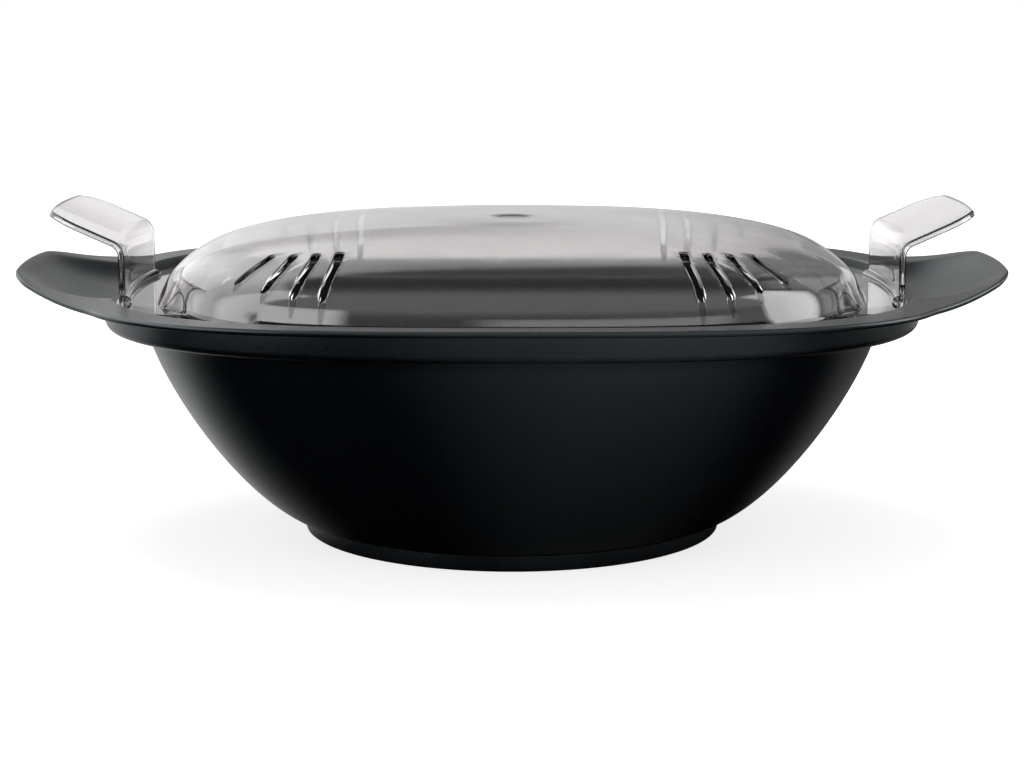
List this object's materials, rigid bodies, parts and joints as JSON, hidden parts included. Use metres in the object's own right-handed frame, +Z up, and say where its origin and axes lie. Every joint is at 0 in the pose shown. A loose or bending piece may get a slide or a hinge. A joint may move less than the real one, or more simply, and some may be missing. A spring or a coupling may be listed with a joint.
{
  "type": "steaming attachment for a cooking food processor",
  "caption": "Deep oval steaming bowl on a round foot, with upturned ears, a slotted tray inside and a clear domed lid with two paddle handles; it stands on a heated mixing bowl",
  "frame": {"origin": "centre of the foot ring's underside, on the surface that the part stands on", "axes": "+X runs from ear to ear, +Y from front to back, +Z up"},
  "size_m": [0.4184, 0.2948, 0.1406],
  "materials": {
    "black_plastic": "satin black moulded plastic",
    "tray_plastic": "satin black moulded plastic",
    "seal_rubber": "dark grey silicone",
    "clear_plastic": "clear glossy plastic"
  },
  "bodies": {
    "bowl": {"steamer_bowl": "black_plastic", "foot_seal": "seal_rubber"},
    "tray": {"steam_tray": "tray_plastic"},
    "lid": {"steam_lid": "clear_plastic"}
  },
  "joints": [
    {"name": "tray_lift", "type": "slide", "parent": "bowl", "child": "tray", "axis": [0, 0, 1], "range_m": [0, 0.06]},
    {"name": "lid_lift", "type": "slide", "parent": "tray", "child": "lid", "axis": [0, 0, 1], "range_m": [0, 0.06]}
  ]
}
